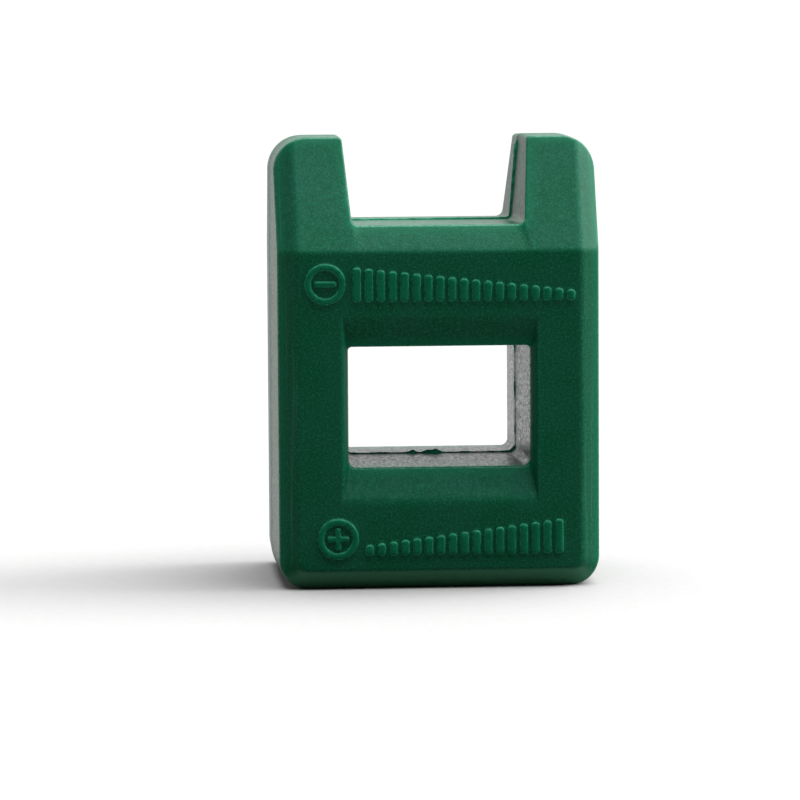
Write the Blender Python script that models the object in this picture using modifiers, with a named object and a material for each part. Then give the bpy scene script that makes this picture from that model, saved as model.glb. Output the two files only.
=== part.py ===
"""Magnetizer and demagnetizer block: two welded plastic shells round four magnets and two steel strips.

Metres, +Z up, the front looks along -Y, the origin is the centre of the underside.
A tool is magnetized in the window and demagnetized in the notch between the two horns.
"""
import math

import bmesh
import bpy
from mathutils import Matrix, Vector

MM = 0.001

# Driving dimensions
WIDTH = 35.0 * MM               # across both legs, at the parting plane
HEIGHT = 48.3 * MM
DEPTH = 28.0 * MM               # front to back, over the raised marks
DRAFT = math.tan(math.radians(1.35))     # of the outer and notch walls
WINDOW_DRAFT = math.tan(math.radians(1.7))
GAP = 0.3 * MM                  # clearance between neighbouring pieces
WALL = 1.2 * MM
INNER_CHAMFER = 1.0 * MM        # of the hollow

# Outside of a shell
MARK_HEIGHT = 0.3 * MM          # how far the marks stand proud of a face
FACE = DEPTH / 2 - MARK_HEIGHT  # from the parting plane to the flat face
CORNER = 3.2 * MM               # radius of the two bottom corners of the outline
HORN_CORNER = 3.8 * MM          # and of the horns' outer top corners
CORNER_OUT = 0.1 * MM           # how far a horn corner's arc starts outside the flat sides it joins
CHAMFER = 2.0 * MM
CREASE_Z = 36.1 * MM            # where the face starts to lean back towards the horns
TAPER = 0.54                    # how far it leans back for each unit of height

# Window, measured where its walls meet the flare of the face
WINDOW_HALF = 9.75 * MM
WINDOW_Z = (12.95 * MM, 25.9 * MM)
WINDOW_CORNER = 0.9 * MM
FLARE_DEPTH = 1.65 * MM
FLARE_HALF = 10.4 * MM
FLARE_Z = (9.45 * MM, 28.95 * MM)

# Notch, measured at the parting plane
NOTCH_FLOOR_Z = 39.05 * MM
NOTCH_FLOOR_HALF = 8.95 * MM
NOTCH_LEAN = 0.094              # how far a notch wall moves out for each unit of height
NOTCH_CORNER = 0.7 * MM

# Ribs and locating pins inside a shell
RIB = 1.2 * MM
SLAB_ROOT = 0.96 * MM           # how far ribs beside a pocket wall reach into it
BAR_RIB_X = (-5.15 * MM, 0.0, 5.15 * MM)
SHELF_Z = 6.1 * MM              # shelf that the magnet stands on
HORN_RIB_Z = (33.9 * MM, 39.6 * MM)
PIN_X = BAR_RIB_X[2]
PIN_Z = (6.4 * MM, 32.4 * MM)
PIN_RADIUS = 1.1 * MM
PIN_LENGTH = 2.6 * MM           # past the parting plane
BOSS_RADIUS = 2.3 * MM
SOCKET_RADIUS = PIN_RADIUS + GAP
SOCKET_DEPTH = PIN_LENGTH + GAP

# Magnets and pole strips
MAGNET_THICK = 3.0 * MM
MAGNET_WIDE = 10.0 * MM
MAGNET_TALL = 25.0 * MM
MAGNET_EDGE = 0.4 * MM
MAGNET_FROM_SPLIT = 1.0 * MM
STRIP_THICK = 1.0 * MM
STRIP_WIDE = 20.0 * MM
STRIP_TOP_WIDE = 12.0 * MM
STRIP_Z = (SHELF_Z + RIB + GAP, 44.6 * MM)
STRIP_SHOULDER_Z = 37.0 * MM

# Raised marks on a face: centres, and rows of bars that fall and rise in height
MARK_SINK = 0.4 * MM            # how far a mark's solid reaches into the shell
RING_RADIUS = 2.15 * MM
RING_STROKE = 0.62 * MM
SIGN_LENGTH = 2.35 * MM
SIGN_STROKE = 0.54 * MM
SIGN_WAIST = 0.9                # width of the plus's arms at the crossing, against their tips
MINUS_CENTRE = (-12.25 * MM, 32.7 * MM)
PLUS_CENTRE = (-11.05 * MM, 5.5 * MM)
BAR_STROKE = 0.84 * MM
BAR_PITCH = 1.27 * MM
BAR_HEIGHTS = (3.6 * MM, 1.1 * MM)
FALLING_ROW = (-9.3 * MM, 30.8 * MM, 19)   # left end, foot, number of bars
RISING_ROW = (-8.1 * MM, 3.7 * MM, 17)

PAST = 2.0 * MM                 # how far a cutter runs past the face that it cuts
FLARE_PAST = 0.5 * MM           # the same for the flare, which widens as it runs on
MERGE = 0.01 * MM               # welds points that coincide
ON_PLANE = 0.001 * MM           # how near a point counts as lying on a cutting plane

# Facets of the round forms
ROD_SIDES = 16
HORN_SIDES = 24
RING_SIDES = 20
BASE_CORNER_STEPS = 5
SMALL_CORNER_STEPS = 3

# Least part of a unit normal that marks a face as facing the front, or up
FRONTWARD = 0.5
UPWARD = 0.9


def make_collection(name):
    collection = bpy.data.collections.new(name)
    bpy.context.scene.collection.children.link(collection)
    return collection


def make_material(name, colour, roughness, metallic):
    material = bpy.data.materials.new(name)
    material.use_nodes = True
    shader = material.node_tree.nodes["Principled BSDF"]
    shader.inputs["Base Color"].default_value = (*colour, 1.0)
    shader.inputs["Roughness"].default_value = roughness
    shader.inputs["Metallic"].default_value = metallic
    return material


def new_object(name, mesh, collection, material=None):
    item = bpy.data.objects.new(name, mesh)
    collection.objects.link(item)
    if material:
        mesh.materials.append(material)
    return item


def object_from_bmesh(name, bm, collection, material=None):
    bmesh.ops.recalc_face_normals(bm, faces=bm.faces[:])
    mesh = bpy.data.meshes.new(name)
    bm.to_mesh(mesh)
    bm.free()
    return new_object(name, mesh, collection, material)


def as_cutter(item):
    item.hide_render = True
    item.display_type = "WIRE"
    return item


def boolean(item, other, operation):
    step = item.modifiers.new(f"{operation} {other.name}", "BOOLEAN")
    step.operation = operation
    step.solver = "EXACT"
    step.object = other


def cut(item, other):
    boolean(item, other, "DIFFERENCE")


def evaluated_mesh(item):
    graph = bpy.context.evaluated_depsgraph_get()
    return bpy.data.meshes.new_from_object(item.evaluated_get(graph))


def edges_along_y(bm, keep):
    """Edges that run front to back and whose middle passes the test."""
    found = []
    for edge in bm.edges:
        across = edge.verts[0].co - edge.verts[1].co
        if abs(across.y) > 10 * max(abs(across.x), abs(across.z)):
            middle = (edge.verts[0].co + edge.verts[1].co) / 2
            if keep(middle):
                found.append(edge)
    return found


def round_edges(bm, edges, radius, segments):
    bmesh.ops.bevel(bm, geom=edges, offset=radius, offset_type="OFFSET", segments=segments,
                    profile=0.5, affect="EDGES", clamp_overlap=True)


def box_bmesh(low, high):
    bm = bmesh.new()
    size = Vector(high) - Vector(low)
    centre = (Vector(high) + Vector(low)) / 2
    place = Matrix.Translation(centre) @ Matrix.Diagonal((*size, 1.0))
    bmesh.ops.create_cube(bm, size=1.0, matrix=place)
    return bm


def add_box(name, low, high, collection, material=None):
    return object_from_bmesh(name, box_bmesh(low, high), collection, material)


def add_rod(name, x, z, radius, y_from, y_to, collection):
    """Cylinder along Y."""
    bm = bmesh.new()
    turn = Matrix.Rotation(math.pi / 2, 4, "X")
    place = Matrix.Translation((x, (y_from + y_to) / 2, z)) @ turn
    bmesh.ops.create_cone(bm, cap_ends=True, segments=ROD_SIDES, radius1=radius, radius2=radius,
                          depth=abs(y_to - y_from), matrix=place)
    return object_from_bmesh(name, bm, collection)


def add_funnel(name, near, far, collection, corner=0.0):
    """Block along Y between two upright rectangles, each (y, low x, high x, low z, high z).

    near is the rectangle at the larger y. Its four long edges are rounded by corner.
    """
    bm = bmesh.new()
    bmesh.ops.create_cube(bm, size=1.0)
    for vert in bm.verts:
        y, low_x, high_x, low_z, high_z = near if vert.co.y > 0 else far
        x = high_x if vert.co.x > 0 else low_x
        z = high_z if vert.co.z > 0 else low_z
        vert.co = (x, y, z)
    if corner:
        round_edges(bm, edges_along_y(bm, lambda middle: True), corner, SMALL_CORNER_STEPS)
    return object_from_bmesh(name, bm, collection)


def drafted_block(name, inset, start_y, chamfer, collection, material=None):
    """Front half of the case's outer form, offset inwards by inset, with its upper face leaning back."""
    face = FACE - inset
    bottom = inset
    top = HEIGHT - inset
    lost = DRAFT * face
    crease = CREASE_Z - inset * math.tan(math.atan(TAPER) / 2)
    near = (start_y, -WIDTH / 2 + inset, WIDTH / 2 - inset, bottom, top)
    far = (-face, -WIDTH / 2 + inset + lost, WIDTH / 2 - inset - lost, bottom, top - lost)
    block = add_funnel(name, near, far, collection)
    bm = bmesh.new()
    bm.from_mesh(block.data)
    bottom_edges = edges_along_y(bm, lambda middle: middle.z < HEIGHT / 2)
    round_edges(bm, bottom_edges, CORNER - inset, BASE_CORNER_STEPS)

    lean = Vector((0.0, -1.0, TAPER)).normalized()
    bmesh.ops.bisect_plane(bm, geom=bm.verts[:] + bm.edges[:] + bm.faces[:], dist=ON_PLANE,
                           plane_co=(0.0, -face, crease), plane_no=lean, clear_outer=True)
    bmesh.ops.contextual_create(bm, geom=[edge for edge in bm.edges if edge.is_boundary])
    bmesh.ops.recalc_face_normals(bm, faces=bm.faces[:])

    rim = []
    for edge in bm.edges:
        fronts = [face.normal.y < -FRONTWARD for face in edge.link_faces]
        tops = [face.normal.z > UPWARD for face in edge.link_faces]
        if sum(fronts) == 1 and not any(tops):
            rim.append(edge)
    round_edges(bm, rim, chamfer, 1)
    bmesh.ops.recalc_face_normals(bm, faces=bm.faces[:])
    bm.to_mesh(block.data)
    bm.free()
    if material:
        block.data.materials.append(material)
    return block


def horn_corner_cutter(name, side, inset, cutters):
    """What is cut from a horn to round its outer top corner, or its hollow's with an inset.

    It is a block less a drafted cone.
    """
    radius = HORN_CORNER - inset
    x = side * (WIDTH / 2 - HORN_CORNER + CORNER_OUT)
    z = HEIGHT - HORN_CORNER + CORNER_OUT
    far = side * (WIDTH / 2 + PAST)
    block = add_box(f"{name}_block", (min(x, far), -FACE - PAST, z),
                    (max(x, far), PAST, HEIGHT + PAST), cutters)
    bm = bmesh.new()
    length = FACE + 4 * PAST
    turn = Matrix.Rotation(math.pi / 2, 4, "X")
    centre_y = -length / 2 + 2 * PAST
    place = Matrix.Translation((x, centre_y, z)) @ turn
    bmesh.ops.create_cone(bm, cap_ends=True, segments=HORN_SIDES,
                          radius1=radius + DRAFT * 2 * PAST,
                          radius2=radius - DRAFT * (length - 2 * PAST),
                          depth=length, matrix=place)
    cone = object_from_bmesh(f"{name}_cone", bm, cutters)
    cut(block, as_cutter(cone))
    return as_cutter(block)


def window_cutter(cutters):
    """The way through, widening with the draft from the parting plane to the front."""
    end = FACE + PAST
    walls_y = FACE - FLARE_DEPTH
    split_loss = WINDOW_DRAFT * (walls_y + PAST)
    front_gain = WINDOW_DRAFT * (end - walls_y)
    near = (PAST, -WINDOW_HALF + split_loss, WINDOW_HALF - split_loss,
            WINDOW_Z[0] + split_loss, WINDOW_Z[1] - split_loss)
    far = (-end, -WINDOW_HALF - front_gain, WINDOW_HALF + front_gain,
           WINDOW_Z[0] - front_gain, WINDOW_Z[1] + front_gain)
    return as_cutter(add_funnel("window_cut", near, far, cutters, WINDOW_CORNER))


def flare_rectangle(y):
    """Section of the flare at y, its four sides kept at their slope past both of its ends."""
    out = (-FACE + FLARE_DEPTH - y) / FLARE_DEPTH
    half = WINDOW_HALF + (FLARE_HALF - WINDOW_HALF) * out
    low = WINDOW_Z[0] - (WINDOW_Z[0] - FLARE_Z[0]) * out
    high = WINDOW_Z[1] + (FLARE_Z[1] - WINDOW_Z[1]) * out
    return (y, -half, half, low, high)


def flare_block(name, shift, cutters):
    """The sloping surround of the window, moved back by shift."""
    near, far = (flare_rectangle(y) for y in (-FACE + FLARE_DEPTH + FLARE_PAST, -FACE - FLARE_PAST))
    near = (near[0] + shift, *near[1:])
    far = (far[0] + shift, *far[1:])
    return as_cutter(add_funnel(name, near, far, cutters))


def notch_block(name, grow, cutters):
    """The notch between the horns, grown by grow on its floor and walls."""
    rise = HEIGHT + PAST - NOTCH_FLOOR_Z
    bm = bmesh.new()
    bmesh.ops.create_cube(bm, size=1.0)
    for vert in bm.verts:
        y = PAST if vert.co.y > 0 else -FACE - PAST
        opening = DRAFT * -y
        high = vert.co.z > 0
        half = NOTCH_FLOOR_HALF + opening + grow + (NOTCH_LEAN * rise if high else 0.0)
        z = HEIGHT + PAST if high else NOTCH_FLOOR_Z - opening - grow
        vert.co = (math.copysign(half, vert.co.x), y, z)
    floor_edges = edges_along_y(bm, lambda middle: middle.z < HEIGHT)
    round_edges(bm, floor_edges, NOTCH_CORNER + grow, SMALL_CORNER_STEPS)
    return as_cutter(object_from_bmesh(name, bm, cutters))


def add_slab(name, side, across, up, cutters):
    """Box on one side of the middle, deep enough front to back to leave a rib in the whole hollow."""
    ends = sorted(side * x for x in across)
    return add_box(name, (ends[0], -FACE - PAST, up[0]), (ends[1], 2 * PAST, up[1]), cutters)


def cavity_cutter(cutters):
    """The hollow of a shell, open at the parting plane: an inner form less its islands and ribs."""
    hollow = drafted_block("cavity", WALL, PAST, INNER_CHAMFER, cutters)
    deep = -FACE - PAST
    clear = 2 * PAST
    pocket_in = WINDOW_HALF + WALL
    pocket_out = pocket_in + GAP + MAGNET_THICK + GAP / 2
    low, high = WINDOW_Z
    island_half = WINDOW_HALF + WALL / 2
    islands = [add_box("window_island", (-island_half, deep, low - WALL), (island_half, clear, high + WALL),
                       cutters)]
    islands.append(notch_block("notch_island", WALL, cutters))
    islands.append(flare_block("flare_island", WALL, cutters))
    for side in (-1, 1):
        name = "right" if side > 0 else "left"
        islands.append(horn_corner_cutter(f"{name}_inner_corner", side, WALL, cutters))
        islands.append(add_slab(f"{name}_pocket_wall", side, (pocket_in - RIB, pocket_in),
                                (0.0, NOTCH_FLOOR_Z), cutters))
        root = pocket_in - SLAB_ROOT
        islands.append(add_slab(f"{name}_shelf", side, (root, WIDTH / 2), (SHELF_Z, SHELF_Z + RIB), cutters))
        for number, z in enumerate(HORN_RIB_Z):
            islands.append(add_slab(f"{name}_horn_rib_{number}", side, (root, pocket_out), (z, z + RIB),
                                    cutters))
        for number, z in enumerate(PIN_Z):
            islands.append(add_rod(f"{name}_boss_{number}", side * PIN_X, z, BOSS_RADIUS, deep, clear,
                                   cutters))
    for number, x in enumerate(BAR_RIB_X):
        islands.append(add_box(f"bar_rib_{number}", (x - RIB / 2, deep, 0.0),
                               (x + RIB / 2, clear, NOTCH_FLOOR_Z), cutters))
    for island in islands:
        cut(hollow, as_cutter(island))
    return as_cutter(hollow)


def circle_points(centre, radius):
    angles = [2 * math.pi * step / RING_SIDES for step in range(RING_SIDES)]
    return [(centre[0] + radius * math.cos(a), centre[1] + radius * math.sin(a)) for a in angles]


def bar_points(x, z, width, height):
    return [(x, z), (x + width, z), (x + width, z + height), (x, z + height)]


def cross_points(centre, length, stroke):
    """Outline of a plus sign with arms a little wider at their tips: three points, turned four times."""
    root = SIGN_WAIST * stroke / 2
    arm = [(length / 2, -stroke / 2), (length / 2, stroke / 2), (root, root)]
    points = []
    for quarter in range(4):
        c = round(math.cos(quarter * math.pi / 2))
        s = round(math.sin(quarter * math.pi / 2))
        points += [(centre[0] + c * x - s * z, centre[1] + s * x + c * z) for x, z in arm]
    return points


def bar_row(row, heights):
    """Bars on one foot line whose heights run evenly from the first height to the last."""
    left, foot, count = row
    outlines = []
    for number in range(count):
        height = heights[0] + (heights[1] - heights[0]) * number / (count - 1)
        outlines.append(bar_points(left + number * BAR_PITCH, foot, BAR_STROKE, height))
    return outlines


def mark_outlines():
    outlines = bar_row(FALLING_ROW, BAR_HEIGHTS) + bar_row(RISING_ROW, BAR_HEIGHTS[::-1])
    for centre in (MINUS_CENTRE, PLUS_CENTRE):
        outlines.append(circle_points(centre, RING_RADIUS))
        outlines.append(circle_points(centre, RING_RADIUS - RING_STROKE))
    outlines.append(bar_points(MINUS_CENTRE[0] - SIGN_LENGTH / 2, MINUS_CENTRE[1] - SIGN_STROKE / 2,
                               SIGN_LENGTH, SIGN_STROKE))
    outlines.append(cross_points(PLUS_CENTRE, SIGN_LENGTH, SIGN_STROKE))
    return outlines


def flat_solid(name, outlines, y_centre, thickness, collection):
    """Flat outlines in X and Z, filled and given a thickness along Y, as one welded mesh."""
    curve = bpy.data.curves.new(name, "CURVE")
    curve.dimensions = "2D"
    curve.fill_mode = "BOTH"
    curve.extrude = thickness / 2
    for outline in outlines:
        spline = curve.splines.new("POLY")
        spline.points.add(len(outline) - 1)
        for point, (x, z) in zip(spline.points, outline):
            point.co = (x, z, 0.0, 1.0)
        spline.use_cyclic_u = True
    drawn = bpy.data.objects.new(f"{name} outline", curve)
    collection.objects.link(drawn)
    drawn.matrix_world = Matrix.Translation((0.0, y_centre, 0.0)) @ Matrix.Rotation(math.pi / 2, 4, "X")
    bpy.context.view_layer.update()
    bm = bmesh.new()
    bm.from_mesh(evaluated_mesh(drawn))
    bmesh.ops.remove_doubles(bm, verts=bm.verts[:], dist=MERGE)
    bmesh.ops.dissolve_limit(bm, angle_limit=math.radians(1), verts=bm.verts[:], edges=bm.edges[:])
    bm.transform(drawn.matrix_world)
    bpy.data.objects.remove(drawn)
    return object_from_bmesh(name, bm, collection)


def front_shell(parts, cutters, material):
    shell = drafted_block("front_shell", 0.0, -GAP / 2, CHAMFER, parts, material)
    for side in (-1, 1):
        name = "right" if side > 0 else "left"
        cut(shell, horn_corner_cutter(f"{name}_corner", side, 0.0, cutters))
    cut(shell, notch_block("notch_cut", 0.0, cutters))
    cut(shell, cavity_cutter(cutters))
    cut(shell, window_cutter(cutters))
    cut(shell, flare_block("flare_cut", 0.0, cutters))
    marks = flat_solid("marks", mark_outlines(), -FACE - (MARK_HEIGHT - MARK_SINK) / 2,
                       MARK_HEIGHT + MARK_SINK, cutters)
    boolean(shell, as_cutter(marks), "UNION")
    for number, z in enumerate(PIN_Z):
        pin = add_rod(f"pin_{number}", PIN_X, z, PIN_RADIUS, -PIN_LENGTH, PIN_LENGTH, cutters)
        boolean(shell, as_cutter(pin), "UNION")
        socket = add_rod(f"socket_{number}", -PIN_X, z, SOCKET_RADIUS, -SOCKET_DEPTH, PAST, cutters)
        cut(shell, as_cutter(socket))
    return shell


def turned_copy(item, name, parts):
    """The same moulding, turned half round to face the other way."""
    copy = bpy.data.objects.new(name, evaluated_mesh(item))
    parts.objects.link(copy)
    copy.rotation_euler = (0.0, 0.0, math.pi)
    return copy


def add_magnet(name, side, front, parts, material):
    """Upright block that stands on the shelf of its pocket, with its edges eased."""
    inner = side * (WINDOW_HALF + WALL + GAP)
    outer = inner + side * MAGNET_THICK
    near = MAGNET_FROM_SPLIT if not front else -MAGNET_FROM_SPLIT - MAGNET_WIDE
    bottom = SHELF_Z + RIB + GAP
    magnet = add_box(name, (min(inner, outer), near, bottom),
                     (max(inner, outer), near + MAGNET_WIDE, bottom + MAGNET_TALL), parts, material)
    ease = magnet.modifiers.new("eased edges", "BEVEL")
    ease.width = MAGNET_EDGE
    ease.segments = 1
    return magnet


def add_strip(name, side, parts, material):
    """Steel strip behind the two magnets of a leg, running up into the horn and narrowing there."""
    inner = side * (WINDOW_HALF + WALL + 2 * GAP + MAGNET_THICK)
    centre_x = inner + side * STRIP_THICK / 2
    bm = box_bmesh((centre_x - STRIP_THICK / 2, -STRIP_WIDE / 2, STRIP_Z[0]),
                   (centre_x + STRIP_THICK / 2, STRIP_WIDE / 2, STRIP_Z[1]))
    bmesh.ops.bisect_plane(bm, geom=bm.verts[:] + bm.edges[:] + bm.faces[:], dist=ON_PLANE,
                           plane_co=(0.0, 0.0, STRIP_SHOULDER_Z), plane_no=(0.0, 0.0, 1.0))
    for vert in bm.verts:
        if vert.co.z > STRIP_SHOULDER_Z + MERGE:
            vert.co.y *= STRIP_TOP_WIDE / STRIP_WIDE
    return object_from_bmesh(name, bm, parts, material)


def main():
    for item in list(bpy.data.objects):
        bpy.data.objects.remove(item)
    parts = make_collection("demagnetizer")
    cutters = make_collection("cutters")
    plastic = make_material("green_plastic", (0.004, 0.075, 0.035), 0.45, 0.0)
    ferrite = make_material("ferrite", (0.03, 0.03, 0.032), 0.6, 0.0)
    steel = make_material("zinc_plated_steel", (0.55, 0.56, 0.58), 0.35, 1.0)

    shell = front_shell(parts, cutters, plastic)
    turned_copy(shell, "rear_shell", parts)
    for side, hand in ((-1, "left"), (1, "right")):
        add_magnet(f"front_{hand}_magnet", side, True, parts, ferrite)
        add_magnet(f"rear_{hand}_magnet", side, False, parts, ferrite)
        add_strip(f"{hand}_pole_strip", side, parts, steel)


main()
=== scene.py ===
"""Visual model of a moulded magnetizer and demagnetizer block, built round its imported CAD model."""
import math

import bmesh
import bpy
import numpy as np
from mathutils import Matrix, Vector, noise
from mathutils.geometry import delaunay_2d_cdt


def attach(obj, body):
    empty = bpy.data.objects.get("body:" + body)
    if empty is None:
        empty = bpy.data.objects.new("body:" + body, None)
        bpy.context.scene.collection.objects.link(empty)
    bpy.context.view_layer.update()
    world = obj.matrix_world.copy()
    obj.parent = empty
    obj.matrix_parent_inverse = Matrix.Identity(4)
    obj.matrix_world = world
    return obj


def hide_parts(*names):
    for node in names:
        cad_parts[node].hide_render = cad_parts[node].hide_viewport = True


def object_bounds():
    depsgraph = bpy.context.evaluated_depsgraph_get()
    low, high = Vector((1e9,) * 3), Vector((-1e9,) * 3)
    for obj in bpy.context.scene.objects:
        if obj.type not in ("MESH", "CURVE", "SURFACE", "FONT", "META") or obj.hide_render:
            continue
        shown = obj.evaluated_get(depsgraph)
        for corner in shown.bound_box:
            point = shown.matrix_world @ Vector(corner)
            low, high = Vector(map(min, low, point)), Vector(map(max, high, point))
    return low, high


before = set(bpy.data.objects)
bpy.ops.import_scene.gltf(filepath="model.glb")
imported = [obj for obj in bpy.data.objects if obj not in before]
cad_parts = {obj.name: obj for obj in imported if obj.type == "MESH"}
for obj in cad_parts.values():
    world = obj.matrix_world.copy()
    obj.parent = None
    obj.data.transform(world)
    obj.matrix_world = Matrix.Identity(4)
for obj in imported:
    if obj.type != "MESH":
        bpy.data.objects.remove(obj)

MM = 0.001
CAD_LOW, CAD_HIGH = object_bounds()

# Shape of a shell in millimetres: x across, z up, and depth from the parting plane to the face.
# The overall sizes come from the frame, and the rest repeats the design's own dimensions.
WIDTH = (CAD_HIGH.x - CAD_LOW.x) / MM
HEIGHT = (CAD_HIGH.z - CAD_LOW.z) / MM
MARK_HEIGHT = 0.3
FACE = (CAD_HIGH.y - CAD_LOW.y) / MM / 2 - MARK_HEIGHT
DRAFT = math.tan(math.radians(1.35))
WINDOW_DRAFT = math.tan(math.radians(1.7))
CORNER = 3.2
HORN_CORNER = 3.8
CHAMFER = 2.0
CREASE_Z = 36.1
TAPER = 0.54
WINDOW_HALF = 9.75
WINDOW_LOW = 12.95
WINDOW_HIGH = 25.9
WINDOW_CORNER = 0.8
WINDOW_TOP_CORNER = 0.4
FLARE_DEPTH = 1.65
FLARE_HALF = 10.4
FLARE_LOW = 9.45
FLARE_HIGH = 28.95
NOTCH_FLOOR_Z = 38.95
NOTCH_FLOOR_DRAFT = 0.45    # the notch floor's share of the draft
NOTCH_FLOOR_HALF = 8.95
NOTCH_LEAN = 0.094
NOTCH_MOUTH = NOTCH_FLOOR_HALF + 1      # past the notch's sides at any height
NOTCH_CORNER = 0.55
HORN_TIP_CORNER = 0.6
WALL = 1.2                  # thickness of the moulding

# The bar between the horns lies back from them. Its two slanted sides are given at the crease, with how
# far each has moved across at the notch floor.
RECESS = 0.35               # how far the bar lies back, at the notch
RECESS_LEFT = (-8.7, -0.55)
RECESS_RIGHT = (9.85, -0.6)
RECESS_SIDE_SLOPE = 0.45

# How softly the face's slopes run into each other
CREASE_BLEND = 0.16
CHAMFER_BLEND = 0.4
FLARE_BLEND = 0.3
RECESS_BLEND = 0.25
FOLD_BLEND = 0.1

# Edges beside the face and the parting line
EDGE_RADIUS = 0.22
EDGE_STEPS = 6
CAD_SPLIT = 0.15            # the CAD shells stop this far from the parting plane
SPLIT = 0.03                # and these stop here, with their edges rounded into a groove
GROOVE = ((SPLIT, 0.12), (0.07, 0.045), (0.14, 0.01), (0.24, 0.0))      # (depth, how far into the wall)
WALL_SHARES = (0.2, 0.45, 0.7, 0.9)     # of the way from the groove to the rounded edge
SETTLING = 3                # rounds of fitting a wall's top to the face

# Mesh
STEP = 0.42                 # spacing of points along outlines and of the face's plain grid
ARC_STEPS = 4               # the fewest steps round a corner
FINE = 4                    # the grid is this many times finer where the face bends
BEND = 0.012                # how much a fine cell bends before its points are kept
OUTLINE_CLEARANCE = 0.7     # cells between the grid's points and the outlines
MARK_CLEARANCE = 0.06
SAME_POINT = 1e-6
FLAT = 0.01                 # how near a plane a point has to be to lie in it
FAR = 9.0                   # more than any distance that matters
CAD_WELD = 1e-6             # metres
SHELL_WELD = 2e-7           # metres
SMOOTH_ANGLE = 40.0         # degrees

# Wear, painted highlight and sheen, and gloss, from 0 to 1, kept at each vertex for the material
OUTER_GLOSS = 0.6           # of the outer walls and notch floor, beside the window's 1
NOTCH_GLOSS = 0.45          # and of the notch's sides
REACH = 0.14                # how far to each side of an outward bend the face is pale from wear and a painted highlight
RIM_WEAR_AND_HIGHLIGHT = 0.5              # how pale the rims are, from wear and a painted highlight, beside the edges of the raised marks
FOLD_WEAR_AND_HIGHLIGHT = 0.15            # and how pale the folds of the face, from wear and a painted highlight
RIM_RUB_AND_SHEEN = 0.8            # how bright the face's rims are, from handling and a painted sheen, beside its raised marks
RIM_REACH = 0.6


# ---------- shape of the face ----------

def soft_min(a, b, blend):
    share = np.clip(0.5 + 0.5 * (b - a) / blend, 0, 1)
    return b + (a - b) * share - blend * share * (1 - share)


def soft_max(a, b, blend):
    return -soft_min(-a, -b, blend)


def side_distance(x, z, side):
    """Distance in from the legs' outer sides and the underside, with their rounded corners."""
    across = np.abs(x) - (side - CORNER)
    down = CORNER - z
    out = np.hypot(np.maximum(across, 0), np.maximum(down, 0))
    return CORNER - out - np.minimum(np.maximum(across, down), 0)


def face_depth(x, z):
    """Depth of the moulded face at each point, before its marks and rounded edges."""
    lean = FACE - TAPER * (z - CREASE_Z)
    top = soft_min(np.full_like(x, FACE), lean, CREASE_BLEND)

    # Between the horns the sloping face lies a little further back, inside two slanted sides.
    up = np.clip((z - CREASE_Z) / (NOTCH_FLOOR_Z - CREASE_Z), -1, 2)
    left = RECESS_LEFT[0] + RECESS_LEFT[1] * up
    right = RECESS_RIGHT[0] + RECESS_RIGHT[1] * up
    sides = soft_max(left - x, x - right, FOLD_BLEND) * RECESS_SIDE_SLOPE
    hollow = soft_max(-RECESS * up, sides, RECESS_BLEND)
    top = top + soft_min(np.zeros_like(x), hollow, FOLD_BLEND)

    side = WIDTH / 2 - DRAFT * (np.minimum(lean, FACE) - CHAMFER)
    chamfer = top - CHAMFER + side_distance(x, z, side)
    depth = soft_min(top, chamfer, CHAMFER_BLEND)

    def slope(at, start, end):
        return FACE - FLARE_DEPTH * (at - start) / (end - start)

    flare = soft_max(slope(z, FLARE_LOW, WINDOW_LOW), slope(z, FLARE_HIGH, WINDOW_HIGH), FOLD_BLEND)
    flare = soft_max(flare, slope(np.abs(x), FLARE_HALF, WINDOW_HALF), CREASE_BLEND)
    return soft_min(depth, flare, FLARE_BLEND)


def ridge(x, z):
    """How close each point is to an outward bend of the face, from 0 to 1."""
    around = face_depth(x + REACH, z) + face_depth(x - REACH, z)
    around = around + face_depth(x, z + REACH) + face_depth(x, z - REACH)
    return np.clip((4 * face_depth(x, z) - around) / (REACH / 2), 0, 1)


# ---------- outlines ----------

def rounded_loop(corners):
    """Points round a closed outline given as (x, z, corner radius), with the way into the material.

    The material is on the left of the direction of travel.
    """
    points = []
    count = len(corners)
    for i, (x, z, radius) in enumerate(corners):
        here = np.array([x, z])
        before = np.array(corners[i - 1][:2]) - here
        after = np.array(corners[(i + 1) % count][:2]) - here
        before /= np.linalg.norm(before)
        after /= np.linalg.norm(after)
        half = math.acos(np.clip(before @ after, -1, 1)) / 2
        middle = (before + after) / np.linalg.norm(before + after)
        centre = here + middle * radius / math.sin(half)
        start = here + before * radius / math.tan(half)
        end = here + after * radius / math.tan(half)
        steps = max(ARC_STEPS, int(radius * (math.pi - 2 * half) / (STEP / 2)))
        first, last = start - centre, end - centre
        turn = math.pi - 2 * half
        for step in range(steps + 1):
            t = step / steps
            arc = math.sin((1 - t) * turn) * first + math.sin(t * turn) * last
            points.append(centre + arc / math.sin(turn))
    loop = []
    for i, point in enumerate(points):
        following = points[(i + 1) % len(points)]
        gap = np.linalg.norm(following - point)
        steps = max(1, int(round(gap / STEP))) if gap > 1.5 * STEP else 1
        loop += [point + (following - point) * s / steps for s in range(steps)]
    loop = np.array(loop)
    along = np.roll(loop, -1, 0) - np.roll(loop, 1, 0)
    inward = np.stack([-along[:, 1], along[:, 0]], 1)
    return loop, inward / np.linalg.norm(inward, axis=1)[:, None]


def case_outline():
    half = WIDTH / 2
    tip = NOTCH_FLOOR_HALF + NOTCH_LEAN * (HEIGHT - NOTCH_FLOOR_Z)
    right = [(half, 0.0, CORNER), (half, HEIGHT, HORN_CORNER), (tip, HEIGHT, HORN_TIP_CORNER),
             (NOTCH_FLOOR_HALF, NOTCH_FLOOR_Z, NOTCH_CORNER)]
    return rounded_loop(right + [(-x, z, radius) for x, z, radius in reversed(right)])


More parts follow.
